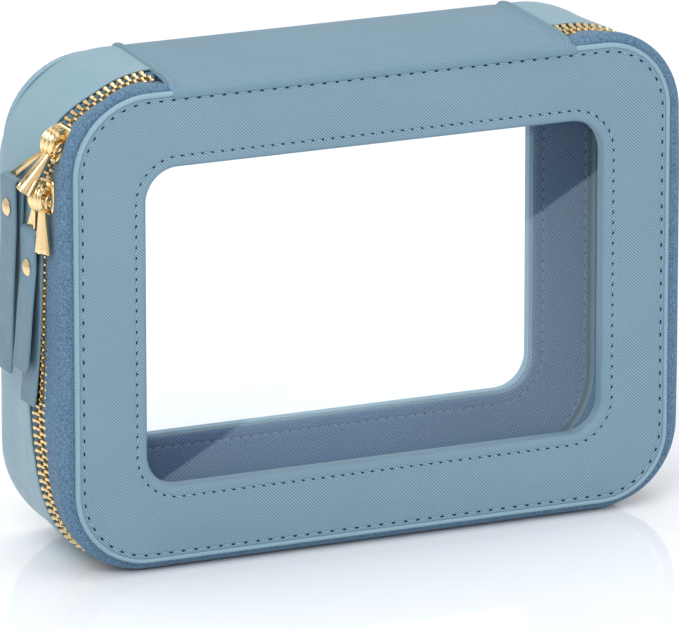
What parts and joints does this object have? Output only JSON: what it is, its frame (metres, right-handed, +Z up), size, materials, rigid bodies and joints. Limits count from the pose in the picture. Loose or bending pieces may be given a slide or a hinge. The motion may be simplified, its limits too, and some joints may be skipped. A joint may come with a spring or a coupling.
{
  "type": "makeup train case",
  "caption": "Soft-sided travel case for make-up with a clear window in the front and back panels, closed by a zip with leather strap pulls; the front panel opens as a lid.",
  "frame": {"origin": "middle of the flat underside of the leather wall, where the case rests", "axes": "+X to the right seen from the front, the front panel (the lid) faces -Y, +Z up"},
  "size_m": [0.2342, 0.0636, 0.168],
  "materials": {
    "saffiano_leather": "cross-hatched, satin",
    "smooth_leather": "smooth, satin",
    "inner_lining": "cross-hatched, matt",
    "stiffener": "board",
    "window_film": "clear soft film",
    "zip_tape": "woven",
    "gold_metal": "polished gold plate"
  },
  "bodies": {
    "shell": {"back_panel_cover": "saffiano_leather", "back_panel_board": "stiffener", "back_panel_piping": "smooth_leather", "back_window_film": "window_film", "back_panel_lining": "inner_lining", "gusset_leather": "smooth_leather", "gusset_board": "stiffener", "gusset_lining": "inner_lining", "top_strip_rear": "saffiano_leather", "rear_zip_teeth": "gold_metal", "rear_zip_tape": "zip_tape"},
    "lid": {"front_panel_cover": "saffiano_leather", "front_panel_board": "stiffener", "front_panel_piping": "smooth_leather", "front_window_film": "window_film", "front_panel_lining": "inner_lining", "top_strip_front": "saffiano_leather", "front_zip_teeth": "gold_metal", "front_zip_tape": "zip_tape"},
    "upper_slider": {"upper_slider": "gold_metal"},
    "upper_metal_pull": {"upper_metal_pull": "gold_metal"},
    "upper_strap": {"upper_strap_clip": "gold_metal", "upper_strap": "smooth_leather", "upper_strap_rivet": "gold_metal"},
    "lower_slider": {"lower_slider": "gold_metal"},
    "lower_metal_pull": {"lower_metal_pull": "gold_metal"},
    "lower_strap": {"lower_strap_clip": "gold_metal", "lower_strap": "smooth_leather", "lower_strap_rivet": "gold_metal"}
  },
  "joints": [
    {"name": "lid_hinge", "type": "hinge", "parent": "shell", "child": "lid", "pos_m": [0, -0.0145, 0.168], "axis": [-1, 0, 0], "range_deg": [0, 120]},
    {"name": "upper_slider_travel", "type": "hinge", "parent": "shell", "child": "upper_slider", "pos_m": [-0.0728, -0.0145, 0.1278], "axis": [0, 1, 0], "range_deg": [0, 32]},
    {"name": "lower_slider_travel", "type": "slide", "parent": "shell", "child": "lower_slider", "axis": [0, 0, -1], "range_m": [0, 0.052]},
    {"name": "upper_metal_pull_swing", "type": "hinge", "parent": "upper_slider", "child": "upper_metal_pull", "pos_m": [-0.10997, -0.0145, 0.1484], "axis": [0, 1, 0], "range_deg": [0, 80]},
    {"name": "upper_strap_swing", "type": "hinge", "parent": "upper_slider", "child": "upper_strap", "pos_m": [-0.10997, -0.0145, 0.1484], "axis": [0, 1, 0], "range_deg": [0, 100]},
    {"name": "lower_metal_pull_swing", "type": "hinge", "parent": "lower_slider", "child": "lower_metal_pull", "pos_m": [-0.1153, -0.0145, 0.129], "axis": [0, 1, 0], "range_deg": [0, 110]},
    {"name": "lower_strap_swing", "type": "hinge", "parent": "lower_slider", "child": "lower_strap", "pos_m": [-0.1153, -0.0145, 0.129], "axis": [0, 1, 0], "range_deg": [0, 100]}
  ]
}
